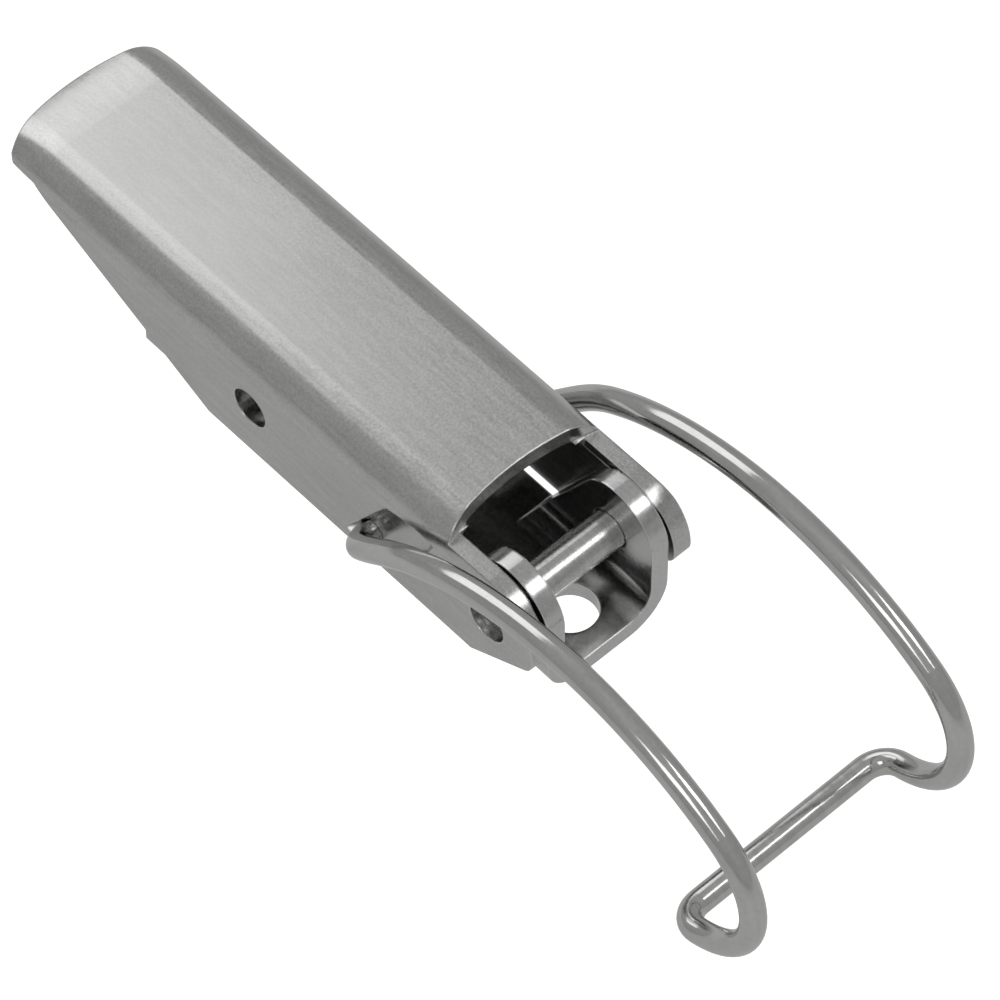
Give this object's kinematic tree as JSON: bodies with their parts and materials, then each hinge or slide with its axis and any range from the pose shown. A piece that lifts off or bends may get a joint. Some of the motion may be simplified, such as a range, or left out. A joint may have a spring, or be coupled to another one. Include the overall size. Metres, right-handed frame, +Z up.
{
  "type": "toggle latch",
  "caption": "Over-centre toggle latch: a hollow lever pivots on a low channel base and swings a bent wire bail that hooks a keeper and draws it tight.",
  "frame": {"origin": "on the flat underside, on the centre line, directly below the front edge of the base", "axes": "+X from the lever's grip end towards the keeper that the wire hooks, +Y along the hinge pin, +Z up from the mounting surface"},
  "size_m": [0.1067, 0.028, 0.0269],
  "materials": {
    "sheet_steel": "fine satin stainless sheet, polished where it was folded",
    "pin_steel": "satin turned rod with riveted ends",
    "wire_steel": "bright drawn wire"
  },
  "bodies": {
    "base": {"base": "sheet_steel"},
    "lever": {"lever": "sheet_steel", "hinge_pin": "pin_steel"},
    "bail": {"bail": "wire_steel"}
  },
  "joints": [
    {"name": "lever_hinge", "type": "hinge", "parent": "base", "child": "lever", "pos_m": [-0.0056, 0, 0.00885], "axis": [0, 1, 0], "range_deg": [0, 135]},
    {"name": "bail_hinge", "type": "hinge", "parent": "lever", "child": "bail", "pos_m": [-0.0217, 0, 0.0056], "axis": [0, 1, 0], "range_deg": [-168, 25]}
  ]
}
